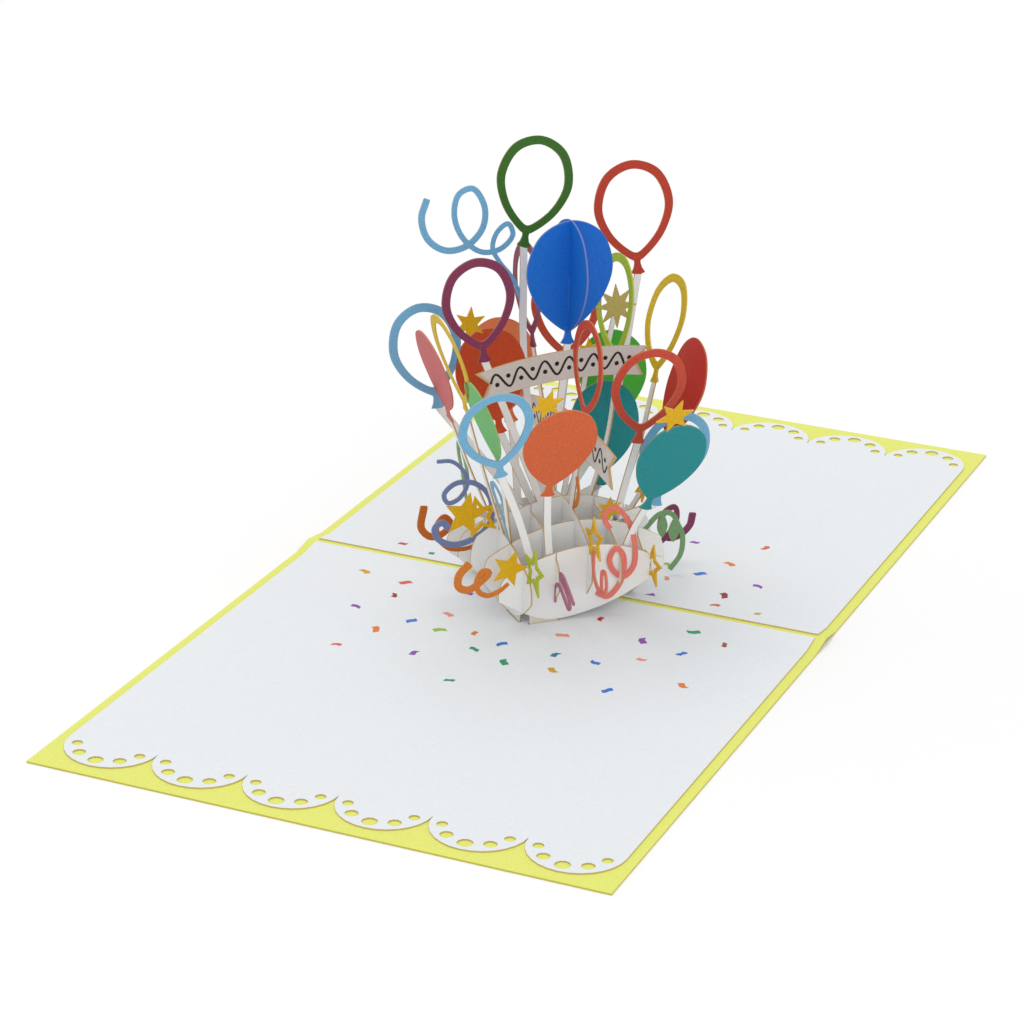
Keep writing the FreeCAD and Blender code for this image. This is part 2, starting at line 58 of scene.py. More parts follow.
def paper(name, face, rim, roughness=0.62, mottle=0.05, tooth=0.10, upright_rim=False):
    """Uncoated paper: short fibres, faint mottling and a rim colour where it was cut, laser burn on
    the liners and slices and painted shade on the cover's walls.
    """
    material = bpy.data.materials.new(name)
    material.use_nodes = True
    nodes, links = material.node_tree.nodes, material.node_tree.links
    shader = nodes["Principled BSDF"]
    shader.inputs["Roughness"].default_value = roughness
    shader.inputs["Specular IOR Level"].default_value = 0.25
    place = nodes.new("ShaderNodeTexCoord")

    def noise(scale, detail):
        cloud = nodes.new("ShaderNodeTexNoise")
        cloud.inputs["Scale"].default_value = scale
        cloud.inputs["Detail"].default_value = detail
        links.new(place.outputs["Object"], cloud.inputs["Vector"])
        return cloud.outputs["Fac"]

    def mixed(factor, first, second):
        mix = nodes.new("ShaderNodeMix")
        mix.data_type = "RGBA"
        links.new(factor, mix.inputs["Factor"])
        for socket, colour in ((mix.inputs[6], first), (mix.inputs[7], second)):
            if isinstance(colour, tuple):
                socket.default_value = colour
            else:
                links.new(colour, socket)
        return mix.outputs[2]

    def ranged(value, low, high, to_low, to_high):
        remap = nodes.new("ShaderNodeMapRange")
        links.new(value, remap.inputs["Value"])
        limits = {"From Min": low, "From Max": high, "To Min": to_low, "To Max": to_high}
        for label, number in limits.items():
            remap.inputs[label].default_value = number
        return remap.outputs["Result"]

    darker = tuple(c * (1.0 - 2.2 * mottle) for c in face[:3]) + (1.0,)
    lighter = tuple(min(1.0, c * (1.0 + mottle) + 0.004) for c in face[:3]) + (1.0,)
    fibres = noise(fibre_scale, fibre_detail)
    colour = mixed(ranged(fibres, 0.30, 0.70, 0.0, 1.0), darker, lighter)
    clouds = ranged(noise(cloud_scale, cloud_detail), 0.35, 0.65, 0.0, 0.35)
    colour = mixed(clouds, colour, face)
    if upright_rim:
        mark = nodes.new("ShaderNodeAttribute")
        mark.attribute_name = "rim"
        rim_tint = ranged(mark.outputs["Fac"], 0.35, 1.0, 0.0, 1.0)
    else:
        # Sheets lying flat take the rim colour on their upright walls: laser burn on the liners,
        # painted shade on the cover.
        lie = nodes.new("ShaderNodeNewGeometry")
        parts = nodes.new("ShaderNodeSeparateXYZ")
        links.new(lie.outputs["Normal"], parts.inputs[0])
        flatness = nodes.new("ShaderNodeMath")
        flatness.operation = "ABSOLUTE"
        links.new(parts.outputs["Z"], flatness.inputs[0])
        rim_tint = ranged(flatness.outputs[0], 0.45, 0.25, 0.0, 1.0)
    links.new(mixed(rim_tint, colour, rim), shader.inputs["Base Color"])
    bump = nodes.new("ShaderNodeBump")
    bump.inputs["Strength"].default_value = tooth
    bump.inputs["Distance"].default_value = tooth_depth
    links.new(fibres, bump.inputs["Height"])
    links.new(bump.outputs["Normal"], shader.inputs["Normal"])
    return material


def dress(node, material):
    """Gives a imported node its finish."""
    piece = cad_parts[node]
    piece.data.materials.clear()
    piece.data.materials.append(material)


# The cover's second colour is painted shade on its upright cut walls.
yellow_card = paper("yellow_card", ink(229, 233, 118), ink(204, 190, 70), 0.7, 0.035, 0.12)
dress("cover", yellow_card)


# Two liners of white paper are glued to the cover, one on each side of the crease. A laser cut
# their scallops and the rows of round holes, and left the rims golden brown.
liner_paper = paper("liner_paper", ink(230, 234, 237), ink(206, 184, 132), 0.6, 0.02, 0.08)
dress("liner_near", liner_paper)
dress("liner_far", liner_paper)


# Confetti is printed on the liners round the pop-up: short wavy flakes of flat ink, about 3 mm
# long, each turned its own way. Those by the crease lie on its low ridge.
liner_face = 0.8 * mm
ridge_height, ridge_half_width = 1.2, 8.0
flake_length, flake_width, flake_lift = 3.0, 1.55, 0.02
flake_wave, flake_slant, flake_steps = 0.22, 0.45, 6
confetti_inks = {
    "coral": ink(214, 98, 80), "red": ink(190, 60, 50), "darkred": ink(150, 45, 45),
    "brownred": ink(160, 75, 55), "redbrown": ink(185, 80, 60), "salmon": ink(226, 150, 122),
    "orange": ink(226, 124, 52), "gold": ink(206, 160, 40), "lime": ink(150, 190, 60),
    "green": ink(40, 150, 105), "teal": ink(38, 130, 150), "blue": ink(58, 120, 205),
    "purple": ink(140, 80, 175),
}
near_flakes = [
    (-51, 10, "redbrown"), (-41, 6, "green"), (-52, -12, "gold"), (-39, -14, "coral"),
    (-38, -23, "darkred"), (-44, -34, "purple"), (-27, -36, "blue"), (-33, -45, "orange"),
    (-38, -58, "coral"), (-18, -54, "purple"), (-20, -28, "salmon"), (-18, -38, "lime"),
    (-9, -36, "orange"), (-5, -45, "green"), (0, -39, "blue"), (5, -49, "green"),
    (-3, -65, "green"), (15, -39, "teal"), (18, -48, "gold"), (12, -27, "salmon"),
    (17, -13, "red"), (26, -39, "blue"), (35, -53, "blue"), (32, -21, "purple"),
    (36, -32, "salmon"), (44, -24, "blue"), (51, -42, "orange"), (42, -10, "green"),
    (52, -14, "brownred"), (-21, -13, "purple"),
]
far_flakes = [
    (21, 47, "purple"), (40, 52, "coral"), (35, 37, "orange"), (30, 27, "blue"),
    (23, 20, "salmon"), (47, 26, "purple"), (23, 7, "purple"), (41, 16, "darkred"),
    (41, 9, "coral"), (53, 8, "gold"), (20, 29, "lime"),
]


def inked(name, colour):
    return paper(name + "_ink", colour, colour, 0.55, 0.06, 0.08)


confetti_materials = {name: inked("confetti_" + name, colour)
                      for name, colour in confetti_inks.items()}


def crease_rise(y):
    """How far the low ridge of the crease lifts what lies on the liners, in millimetres."""
    return max(0.0, 1 - abs(y) / ridge_half_width) * ridge_height


def put(name, data):
    """Adds an object to the scene."""
    item = bpy.data.objects.new(name, data)
    bpy.context.collection.objects.link(item)
    return item


def scatter(name, flakes):
    """One mesh of printed flakes, each a short ribbon with a wave in it."""
    flat = bmesh.new()
    names = sorted({flake[2] for flake in flakes})
    for k, (x, y, colour) in enumerate(flakes):
        turn = Matrix.Rotation(math.radians(15 + 67 * k), 2)
        share = 0.85 + 0.1 * (k % 4)
        strips = []
        slant = flake_slant * (-1) ** k
        for j in range(flake_steps + 1):
            along = (j / flake_steps - 0.5) * flake_length * share
            wave = flake_wave * math.sin(2 * math.pi * j / flake_steps + k)
            pair = []
            for side in (-0.5, 0.5):
                spot = turn @ Vector((along + slant * side, wave + side * flake_width * share))
                pair.append([(x + spot.x) * mm, (y + spot.y) * mm])
            strips.append(pair)
        ridge = crease_rise(y) * mm
        low, high = liner_face + ridge - flake_lift * mm, liner_face + ridge + flake_lift * mm
        rows = []
        for z in (low, high):
            rows.append([[flat.verts.new((*spot, z)) for spot in pair] for pair in strips])
        faces = []
        for j in range(flake_steps):
            (a, b), (c, d) = rows[1][j], rows[1][j + 1]
            faces.append(flat.faces.new((a, c, d, b)))
            (e, f), (g, h) = rows[0][j], rows[0][j + 1]
            faces.append(flat.faces.new((e, f, h, g)))
            faces.append(flat.faces.new((e, g, c, a)))
            faces.append(flat.faces.new((b, d, h, f)))
        for j, order in ((0, 1), (flake_steps, -1)):
            (e, f), (a, b) = rows[0][j], rows[1][j]
            faces.append(flat.faces.new((e, a, b, f)[::order]))
        for face in faces:
            face.material_index = names.index(colour)
    bmesh.ops.recalc_face_normals(flat, faces=flat.faces)
    mesh = bpy.data.meshes.new(name)
    flat.to_mesh(mesh)
    flat.free()
    for colour in names:
        mesh.materials.append(confetti_materials[colour])
    piece = put(name, mesh)
    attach(piece, "root")


scatter("confetti_near", near_flakes)
scatter("confetti_far", far_flakes)


# The pop-up is an egg crate of ten slices of white paper, five each way, 9 mm apart and turned
# 45 degrees to the crease. Each is laser cut in one piece with its stems, balloons, stars and
# streamers, slotted half way into the others, and bent outwards above its boat-shaped foot.
pitch, turn_to_crease = 9.0, 45.0
leans = {0: 0.0, 1: 10.0, 2: 20.0}
foot_tops = {0: 28.0, 1: 24.5, 2: 21.0}
wing_reach = 26.0
slot_height, slot_width = 9.0, 0.46
seat_height, root_depth, top_droop = 0.87, 0.8, 0.35
keel_flat, keel_curve, tip_height = 0.42, 1.8, 0.42
bow_flat, bow_height, bow_lip = 0.88, 0.729, 0.4
tab_width, tab_bottom, tab_top = 8.0, 0.4, 3.2
rim_width = 0.17
common_balloon = (20.0, 25.0)
big_balloon = (24.0, 30.0)
ring_stroke, knot_height, knot_width, neck_width = 2.3, 3.6, 4.0, 1.9
stem_width, streamer_width, twig_width = 2.0, 1.4, 1.4
stem_sway, stem_low, stem_high = 0.10, 0.33, 0.3
# Printed elements and bare paper differ a little in thickness, so that no two faces coincide.
sheet = {"tab": 0.36, "link": 0.38, "foot": 0.40, "stem": 0.42, "streamer": 0.42, "bulb": 0.44,
         "knot": 0.46, "drop": 0.46, "banner": 0.48, "open star": 0.50, "star": 0.52, "print": 0.56}

scorched = ink(194, 160, 106)
white = paper("slice_paper", ink(238, 238, 236), scorched, 0.65, 0.018, 0.10, True)


def printed(name, red, green, blue):
    """Slice paper printed all over in one flat colour, browned at the laser's cut."""
    face = ink(red, green, blue)
    rim_tint = tuple(0.72 * a + 0.28 * b for a, b in zip(face[:3], scorched[:3])) + (1.0,)
    return paper(name, face, rim_tint, 0.58, 0.07, 0.10, True)


def smooth_path(points, per_span, closed=False):
    """Points along a rounded curve through the given ones, spaced by their distances."""
    spots = [Vector(p) for p in points]
    if closed:
        spots = [spots[-1]] + spots + spots[:2]
    else:
        spots = [2 * spots[0] - spots[1]] + spots + [2 * spots[-1] - spots[-2]]
    path = []
    for a, b, c, d in zip(spots, spots[1:], spots[2:], spots[3:]):
        t1 = (b - a).length ** 0.5
        t2 = t1 + (c - b).length ** 0.5
        t3 = t2 + (d - c).length ** 0.5
        for k in range(per_span):
            t = t1 + (t2 - t1) * k / per_span
            ab = a * ((t1 - t) / t1) + b * (t / t1)
            bc = b * ((t2 - t) / (t2 - t1)) + c * ((t - t1) / (t2 - t1))
            cd = c * ((t3 - t) / (t3 - t2)) + d * ((t - t2) / (t3 - t2))
            abc = ab * ((t2 - t) / t2) + bc * (t / t2)
            bcd = bc * ((t3 - t) / (t3 - t1)) + cd * ((t - t1) / (t3 - t1))
            path.append(abc * ((t2 - t) / (t2 - t1)) + bcd * ((t - t1) / (t2 - t1)))
    if not closed:
        path.append(spots[-2].copy())
    return path


def placed(points, at, tilt):
    """The points turned clockwise by the tilt in degrees, and moved."""
    c, s = math.cos(math.radians(tilt)), math.sin(math.radians(tilt))
    return [Vector((at[0] + x * c + y * s, at[1] - x * s + y * c)) for x, y in points]


def balloon_outline(width, height):
    """Egg-shaped bulb that draws in to a short neck at the bottom."""
    w, h = width / 2, height / 2
    side = [(0.70 * w, 0.76 * h), (w, 0.12 * h), (0.76 * w, -0.46 * h), (0.28 * w, -0.88 * h)]
    left = [(-x, y) for x, y in reversed(side)]
    return smooth_path([(0, h)] + side + [(0, -h)] + left, 7, closed=True)


def star_outline(points, radius, inner_share=0.45):
    """Star with its first point straight up."""
    outline = []
    for k in range(2 * points):
        r = radius if k % 2 == 0 else radius * inner_share
        outline.append((r * math.sin(math.pi * k / points), r * math.cos(math.pi * k / points)))
    return outline


def inset(loop, depth):
    """The loop drawn in towards its own inside by an even depth."""
    count = len(loop)
    area = sum(loop[k - 1].cross(loop[k]) for k in range(count))
    side = 1 if area > 0 else -1
    drawn = []
    for k in range(count):
        before = (loop[k] - loop[k - 1]).normalized()
        after = (loop[(k + 1) % count] - loop[k]).normalized()
        normal = Vector((-(before.y + after.y), before.x + after.x)) * side
        shorten = max(0.35, normal.length / 2)
        drawn.append(loop[k] + normal.normalized() * depth / shorten)
    return drawn


def between(loop, hole, share):
    """The loop, a line close inside it, a line close round the hole, and the hole."""
    outer = [a.lerp(b, share) for a, b in zip(loop, hole)]
    inner = [a.lerp(b, 1 - share) for a, b in zip(loop, hole)]
    return [loop, outer, inner, hole]


def shrunk(loop, at, share):
    """The loop drawn in towards a middle."""
    middle = Vector(at)
    return [middle + (p - middle) * share for p in loop]


class Slice:
    """One cut sheet, drawn flat in millimetres and stood up as each element is added."""

    def __init__(self, name, family, step, left=-wing_reach, right=wing_reach, keel=None,
                 footed=True):
        self.name, self.family, self.step = name, family, step
        self.side = (step > 0) - (step < 0)
        self.lean = math.radians(leans[abs(step)])
        self.top = foot_tops[abs(step)]
        angle = math.radians(turn_to_crease) * (1 if family == "a" else -1)
        self.turn = Matrix.Rotation(angle, 3, "Z")
        self.ends, self.keel = (left, right), keel
        self.verts, self.faces, self.slots, self.rims, self.inks = [], [], [], [], []
        if footed:
            self.foot()

    def spot(self, s, t, n, upright, cup=None):
        """Where a point of the flat sheet goes: s along it, t up it, n off its face."""
        if cup:
            n += cup[2] * ((s - cup[0]) / cup[1]) ** 2
        if upright:
            local = Vector((s, pitch * self.step + n, t))
        else:
            c, l = math.cos(self.lean), self.side * math.sin(self.lean)
            local = Vector((s, pitch * self.step + t * l + n * c, self.top + t * c - n * l))
        return (self.turn @ local) * mm

    def add(self, points, faces, material, thick, upright=False, cup=None, drift=None):
        """Adds a flat outline as a sheet with two faces and a wall along every free edge."""
        if material not in self.inks:
            self.inks.append(material)
        slot = self.inks.index(material)
        base, count = len(self.verts), len(points)
        for face_side in (-1, 1):
            for k, (s, t, rim) in enumerate(points):
                lift = drift[k] if drift else 0.0
                self.verts.append(self.spot(s, t, face_side * thick / 2 + lift, upright, cup))
                self.rims.append(rim)
        edges = {}
        for face in faces:
            self.faces.append([base + k for k in face])
            self.faces.append([base + count + k for k in reversed(face)])
            self.slots += [slot, slot]
            for a, b in zip(face, face[1:] + face[:1]):
                edges[(a, b)] = edges.get((a, b), 0) + 1
        for a, b in edges:
            if (b, a) not in edges:
                self.faces.append([base + b, base + a, base + count + a, base + count + b])
                self.slots.append(slot)

    def bands(self, loops, rims, material, filled, **more):
        """Nested loops bridged by bands of faces, filled in the middle or left as a ring."""
        count = len(loops[0])
        points = [(p.x, p.y, rim) for loop, rim in zip(loops, rims) for p in loop]
        faces = []
        for r in range(len(loops) - 1):
            outer, inner = r * count, (r + 1) * count
            for k in range(count):
                n = (k + 1) % count
                faces.append([outer + k, outer + n, inner + n, inner + k])
        if filled:
            middle = sum(loops[-1], Vector((0, 0))) / count
            points.append((middle.x, middle.y, 0.0))
            last = (len(loops) - 1) * count
            for k in range(count):
                faces.append([last + k, last + (k + 1) % count, len(points) - 1])
        self.add(points, faces, material, **more)

    def strip(self, path, widths, material, **more):
        """A ribbon of paper along a path, with its rims scorched."""
        points, faces = [], []
        count = len(path)
        for k, (spot, width) in enumerate(zip(path, widths)):
            run = path[min(k + 1, count - 1)] - path[max(k - 1, 0)]
            across = Vector((-run.y, run.x)).normalized()
            half = width / 2
            edge = min(rim_width * 0.8, half * 0.45)
            for offset, rim in ((-half, 1), (edge - half, 0), (half - edge, 0), (half, 1)):
                p = spot + across * offset
                points.append((p.x, p.y, rim))
        for k in range(count - 1):
            for j in range(3):
                a = 4 * k + j
                faces.append([a, a + 4, a + 5, a + 1])
        self.add(points, faces, material, **more)

    def foot(self):
        """Boat-shaped foot with its slots. Its keel rests on the liner and the crease's ridge."""

        def heights(s):
            """Bottom and top of the foot at a place along it."""
            end = self.ends[0] if s < 0 else self.ends[1]
            reach = min(1.0, abs(s / end))
            y = (self.turn @ Vector((s, pitch * self.step, 0.0))).y
            seat = seat_height + crease_rise(y)
            tip = tip_height * self.top
            rise = max(0.0, (reach - keel_flat) / (1 - keel_flat))
            low = max(seat, seat + (tip - seat) * rise ** keel_curve)
            if self.keel:
                for (s0, z0), (s1, z1) in zip(self.keel, self.keel[1:]):
                    if s0 <= s <= s1:
                        low = z0 + (z1 - z0) * (s - s0) / (s1 - s0)
                tip = self.keel[0 if s < 0 else -1][1] + bow_lip
            high = self.top * (1 - top_droop * reach ** 2)
            if reach > bow_flat:
                fall = (reach - bow_flat) / (1 - bow_flat)
                high = tip + (bow_height * self.top - tip) * math.sqrt(max(0.0, 1 - fall ** 2))
            return low, high

        sign = 1 if self.family == "a" else -1
        crossings = [sign * pitch * k for k in range(-2, 3)]
        crossings = [s for s in crossings if self.ends[0] < s < self.ends[1]]
        columns = []
        for end in self.ends:
            columns += [end * (0.07 * k) for k in range(13)]
            columns += [end * share for share in (0.93, 0.95, 0.965, 0.98, 0.99, 0.997)]
        for s in crossings:
            half = slot_width / 2
            columns += [s - half - rim_width, s - half, s + half, s + half + rim_width]
        columns = sorted(c for c in columns if self.ends[0] < c < self.ends[1])
        columns = [c for k, c in enumerate(columns) if k == 0 or c - columns[k - 1] > 0.02]
        points, faces = [], []
        for s in columns:
            low, high = heights(s)
            edge = min(rim_width, (high - low) / 5)
            waist = min(max(slot_height, low + 2 * edge), high - 2 * edge)
            by_slot = any(abs(abs(s - c) - slot_width / 2) < 0.01 for c in crossings)
            for row, t in enumerate((low, low + edge, waist, high - edge, high)):
                in_slot = by_slot and (row > 1 if self.family == "a" else row < 3)
                on_edge = row in (0, 4) or s in (columns[0], columns[-1])
                rim = 1.0 if on_edge else 0.15 * in_slot
                points.append((s, t, rim))
        for k in range(len(columns) - 1):
            middle = (columns[k] + columns[k + 1]) / 2
            slotted = any(abs(middle - c) < slot_width / 2 for c in crossings)
            for row in range(4):
                if slotted and (row >= 2 if self.family == "a" else row < 2):
                    continue
                a = 5 * k + row
                faces.append([a, a + 5, a + 6, a + 1])
        self.add(points, faces, white, sheet["foot"], upright=True)

    def tab(self, centre):
        """Tab that stands on the cover through a slit in the liner."""
        left, right = centre - tab_width / 2, centre + tab_width / 2
        corners = [(left, tab_bottom), (right, tab_bottom), (right, tab_top), (left, tab_top)]
        points = [(s, t, 0.6) for s, t in corners]
        self.add(points, [[0, 1, 2, 3]], white, sheet["tab"], upright=True)

    def stem(self, root, end, tilt, width=stem_width):
        """Bare paper stem from the top of the foot to the underside of a knot."""
        start = Vector((root, -root_depth - top_droop * self.top * (root / wing_reach) ** 2))
        rise = end[1] - start.y
        c, s = math.cos(math.radians(tilt)), math.sin(math.radians(tilt))
        low = Vector((root + stem_sway * (end[0] - root), start.y + stem_low * rise))
        high = Vector((end[0] - s * stem_high * rise, end[1] - c * stem_high * rise))
        path = smooth_path([start, (low + high) / 2, Vector(end)], 8)
        self.strip(path, [width] * len(path), white, thick=sheet["stem"])

    def balloon(self, colour, at, tilt=0.0, root=None, ring=False, shape=common_balloon,
                cup=0.0):
        """Bulb on its stem, solid or as a ring, with the knot printed in the same colour."""
        width, height = shape
        c, s = math.cos(math.radians(tilt)), math.sin(math.radians(tilt))
        neck = (at[0] - s * height / 2, at[1] - c * height / 2)
        end = (neck[0] - s * knot_height, neck[1] - c * knot_height)
        if root is not None:
            self.stem(root, (end[0] + s * 0.5, end[1] + c * 0.5), tilt)
        half, top = knot_width / 2, neck_width / 2
        knot = [(-top, 1.2), (top, 1.2), (top * 0.9, -0.6), (top * 1.25, -1.8),
                (half, -knot_height + 0.4), (0.35 * half, -knot_height),
                (-0.3 * half, -knot_height + 0.15), (-half, -knot_height + 0.5),
                (-top * 1.25, -1.8), (-top * 0.9, -0.6)]
        loop = placed(knot, neck, tilt)
        self.bands([loop, inset(loop, 0.22)], [1, 0], colour, True, thick=sheet["knot"])
        loop = placed(balloon_outline(width, height), at, tilt)
        bend = (at[0], width / 2, cup) if cup else None
        if ring:
            bore = balloon_outline(width - 2 * ring_stroke, height - 2 * ring_stroke)
            loops = between(loop, placed(bore, at, tilt), 0.1)
            rims = [1, 0, 0, 1]
        else:
            loops = [loop] + [shrunk(loop, at, share) for share in (0.975, 0.8, 0.55, 0.3)]
            rims = [1, 0, 0, 0, 0]
        self.bands(loops, rims, colour, not ring, thick=sheet["bulb"], cup=bend)

    def star(self, colour, at, radius, points=5, turn=0.0, outline=False, upright=False,
             root=None):
        """Star, solid or cut out to an outline, on a thin stem where it has a root."""
        if root is not None:
            self.stem(root, at, 0.0, twig_width)
        loop = placed(star_outline(points, radius), at, turn)
        if outline:
            loops = between(loop, placed(star_outline(points, radius * 0.58), at, turn), 0.15)
            self.bands(loops, [1, 0, 0, 1], colour, False, thick=sheet["open star"],
                       upright=upright)
        else:
            loops = [loop, shrunk(loop, at, 0.9)]
            self.bands(loops, [1, 0], colour, True, thick=sheet["star"], upright=upright)

    def streamer(self, colour, key_points, taper=(1.0, 1.0), upright=False,
                 width=streamer_width, off=0.0):
        """Curled streamer with rounded ends. It drifts off its face, so its turns overlap."""
        path = smooth_path(key_points, 6)
        count = len(path)
        first, change = taper[0], taper[1] - taper[0]
        widths = [width * (first + change * k / (count - 1)) for k in range(count)]
        for end, step in ((0, 1), (-1, -1)):
            run = (path[end] - path[end + step]).normalized()
            half = widths[end] / 2
            caps = [(path[end] + run * half * math.sin(a), 2 * half * math.cos(a))
                    for a in (0.3, 0.6)]
            if end == 0:
                path = [p for p, w in reversed(caps)] + path
                widths = [w for p, w in reversed(caps)] + widths
            else:
                path = path + [p for p, w in caps]
                widths = widths + [w for p, w in caps]
        count = len(path)
        drift = [off + 0.16 * (k / count - 0.5) for k in range(count) for j in range(4)]
        self.strip(path, widths, colour, thick=sheet["streamer"], upright=upright, drift=drift)

    def link(self, start, end, upright=True):
        """Short bar of bare paper that carries a star beside the foot."""
        path = smooth_path([start, end], 4)
        self.strip(path, [twig_width] * len(path), white, thick=sheet["link"], upright=upright)

    def drop(self, colour, at):
        """Small leaf-shaped drop in a streamer's bend."""
        leaf = smooth_path([(0, 3.6), (1.5, 0), (0, -3), (-1.5, 0)], 6, closed=True)
        loop = placed(leaf, at, 0)
        loops = [loop, inset(loop, 0.2)]
        self.bands(loops, [1, 0], colour, True, thick=sheet["drop"], upright=True)

    def banner(self, left, right, rise, height, notch=3.0):
        """Arched banner with swallowtail ends and a printed wavy vine and dots."""
        (x0, y0), (x1, y1) = left, right
        span = math.hypot(x1 - x0, y1 - y0)
        angle = -math.degrees(math.atan2(y1 - y0, x1 - x0))
        radius = (span ** 2 / 4 + rise ** 2) / (2 * rise)
        half = math.asin(span / 2 / radius)
        middle = ((x0 + x1) / 2, (y0 + y1) / 2)

        def on_banner(along, across):
            """Along from -1 to 1 of the arc, across in millimetres from its middle line."""
            a, r = along * half, radius + across
            return placed([(r * math.sin(a), r * math.cos(a) - radius + rise)], middle, angle)[0]

        rows = [(-height / 2, 1), (rim_width - height / 2, 0), (-height / 4, 0), (0, 0),
                (height / 4, 0), (height / 2 - rim_width, 0), (height / 2, 1)]
        steps = 24
        points, faces = [], []
        for k in range(steps + 1):
            for across, rim in rows:
                reach = 1 - (notch / radius / half) * (1 - abs(across) / (height / 2))
                p = on_banner((2 * k / steps - 1) * reach, across)
                points.append((p.x, p.y, 1 if k in (0, steps) else rim))
        for k in range(steps):
            for j in range(len(rows) - 1):
                a = k * len(rows) + j
                faces.append([a, a + len(rows), a + len(rows) + 1, a + 1])
        self.add(points, faces, banner_paper, sheet["banner"])
        waves, vine_steps = int(span / vine_pitch), 12
        vine = []
        for k in range(waves * vine_steps + 1):
            along = -vine_reach + 2 * vine_reach * k / (waves * vine_steps)
            vine.append(on_banner(along, 0.27 * height * math.sin(2 * math.pi * k / vine_steps)))
        self.strip(vine, [vine_width] * len(vine), black_ink, thick=sheet["print"])
        for k in range(2 * waves):
            along = -vine_reach + 2 * vine_reach * (k + 0.5) / (2 * waves)
            spot = on_banner(along, (0.10 if k % 2 else -0.10) * height)
            ring = [(dot_radius * math.sin(a), dot_radius * math.cos(a))
                    for a in (j * math.pi / 6 for j in range(12))]
            self.bands([placed(ring, spot, 0)], [0], black_ink, True, thick=sheet["print"])

    def finish(self):
        """Makes the slice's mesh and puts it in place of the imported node."""
        mesh = bpy.data.meshes.new(self.name + "_paper")
        mesh.from_pydata(self.verts, [], self.faces)
        for material in self.inks:
            mesh.materials.append(material)
        mesh.polygons.foreach_set("material_index", self.slots)
        rim = mesh.attributes.new("rim", "FLOAT", "POINT")
        rim.data.foreach_set("value", [float(value) for value in self.rims])
        tidy = bmesh.new()
        tidy.from_mesh(mesh)
        bmesh.ops.recalc_face_normals(tidy, faces=tidy.faces)
        tidy.to_mesh(mesh)
        tidy.free()
        mesh.polygons.foreach_set("use_smooth", [True] * len(mesh.polygons))
        mesh.set_sharp_from_angle(angle=math.radians(40))
        piece = put(self.name + "_paper", mesh)
        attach(piece, "root")
        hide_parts(self.name)


# Slice a1 stands nearest to the viewer, on a tab through the near liner, and is slit from above.
# Its paper carries the orange and teal balloons, a light blue ring, two six-pointed stars and, at
# its foot, a gold star with an orange curl and a salmon curl.
gold = printed("gold_star", 226, 176, 12)
light_blue = printed("light_blue", 118, 178, 214)
orange_curl = printed("orange_curl", 214, 122, 44)
orange = printed("orange_balloon", 214, 100, 56)
teal = printed("teal_balloon", 30, 138, 142)
salmon_curl = printed("salmon_curl", 233, 122, 110)
a1 = Slice("slice_a1", "a", -2, left=-25.0, right=22.0,
           keel=[(-25, 8.2), (-20, 5.2), (-15, 2.6), (-11, 1.3), (-6, 1.2), (0, 2.2), (5, 3.4),
                 (10, 5.2), (15, 7.6), (19, 10.2), (22, 12.9)])
a1.tab(-12.0)
a1.balloon(orange, (-14.2, 35.3), 2, -10.7)
a1.balloon(light_blue, (-32.5, 43.5), -13, -15.5, ring=True)
a1.balloon(teal, (18.0, 25.8), 14, 11.0, shape=(19.0, 25.0))
a1.star(gold, (-20.0, 50.5), 4.6, 6, 10)
a1.star(gold, (16.6, 41.5), 5.2, 6, 15)
a1.star(gold, (-22.0, 17.2), 5.2, 5, 20, upright=True)
a1.streamer(orange_curl,
            [(-22.5, 13), (-25, 11.2), (-28, 10.5), (-30.5, 12), (-31, 14.8), (-29.5, 17.4),
             (-27.7, 16.9), (-30, 14.5), (-33.5, 12.8), (-36, 14), (-36, 17), (-33.5, 19.8)],
            (0.8, 1.6), True)
a1.streamer(salmon_curl,
            [(5.6, 25.4), (4.3, 27.4), (4.4, 29.8), (6.8, 31), (9.8, 28.3), (11.9, 24.2),
             (13.2, 18.5), (12.8, 13.2), (10.2, 10.9), (7.3, 12.8), (6, 16.4), (7.6, 19.2),
             (9.7, 17.4), (10.2, 12.6), (8.8, 8.4), (5.8, 5.8), (3, 7.2)],
            upright=True, off=-0.6)
a1.finish()


# Slice a2 is the next one back, of the same white paper and slit from above. It carries the coral
# ring and, low on the right, a light blue ring behind the teal balloon.
coral = printed("coral_ring", 206, 78, 58)
a2 = Slice("slice_a2", "a", -1)
a2.balloon(coral, (16.4, 37.2), 4, 11.4, ring=True, shape=(21.0, 24.5))
a2.balloon(light_blue, (26.0, 17.0), 12, 7.5, ring=True)
a2.star(gold, (9.5, 2.0), 3.8, 6)
a2.finish()


# Slice a3 is the middle one, upright and slit from above. It carries the big blue balloon's main
# leaf, the plum ring, the upper banner with its printed vine, and, beyond the two ends of its
# foot, the slate and green curls and two stars.
big_blue = printed("blue_balloon", 14, 108, 206)
plum = printed("plum_ring", 132, 54, 88)
slate = printed("slate_curl", 112, 128, 172)
leaf_green = printed("green_curl", 116, 158, 108)
blue_middle = 61.0
banner_paper = paper("banner_paper", ink(212, 206, 200), scorched, 0.62, 0.03, 0.10, True)
black_ink = paper("banner_ink", ink(38, 34, 34), ink(38, 34, 34), 0.5, 0.05, 0.05, True)
vine_pitch, vine_reach, vine_width, dot_radius = 7.0, 0.86, 0.62, 0.62
a3 = Slice("slice_a3", "a", 0)
a3.balloon(big_blue, (0.0, blue_middle), 0, -4.5, shape=big_balloon)
a3.balloon(plum, (-25.0, 55.9), -7, -6.0, ring=True)
a3.banner((-24.5, 33.0), (22.5, 35.5), 2.5, 8.0)
a3.star(gold, (-27.5, 26.0), 6.3, 5, 12, upright=True)
a3.star(gold, (-23.5, 25.0), 6.3, 5, -14, outline=True, upright=True)
a3.link((-10.5, 24.5), (-21.6, 24.7))
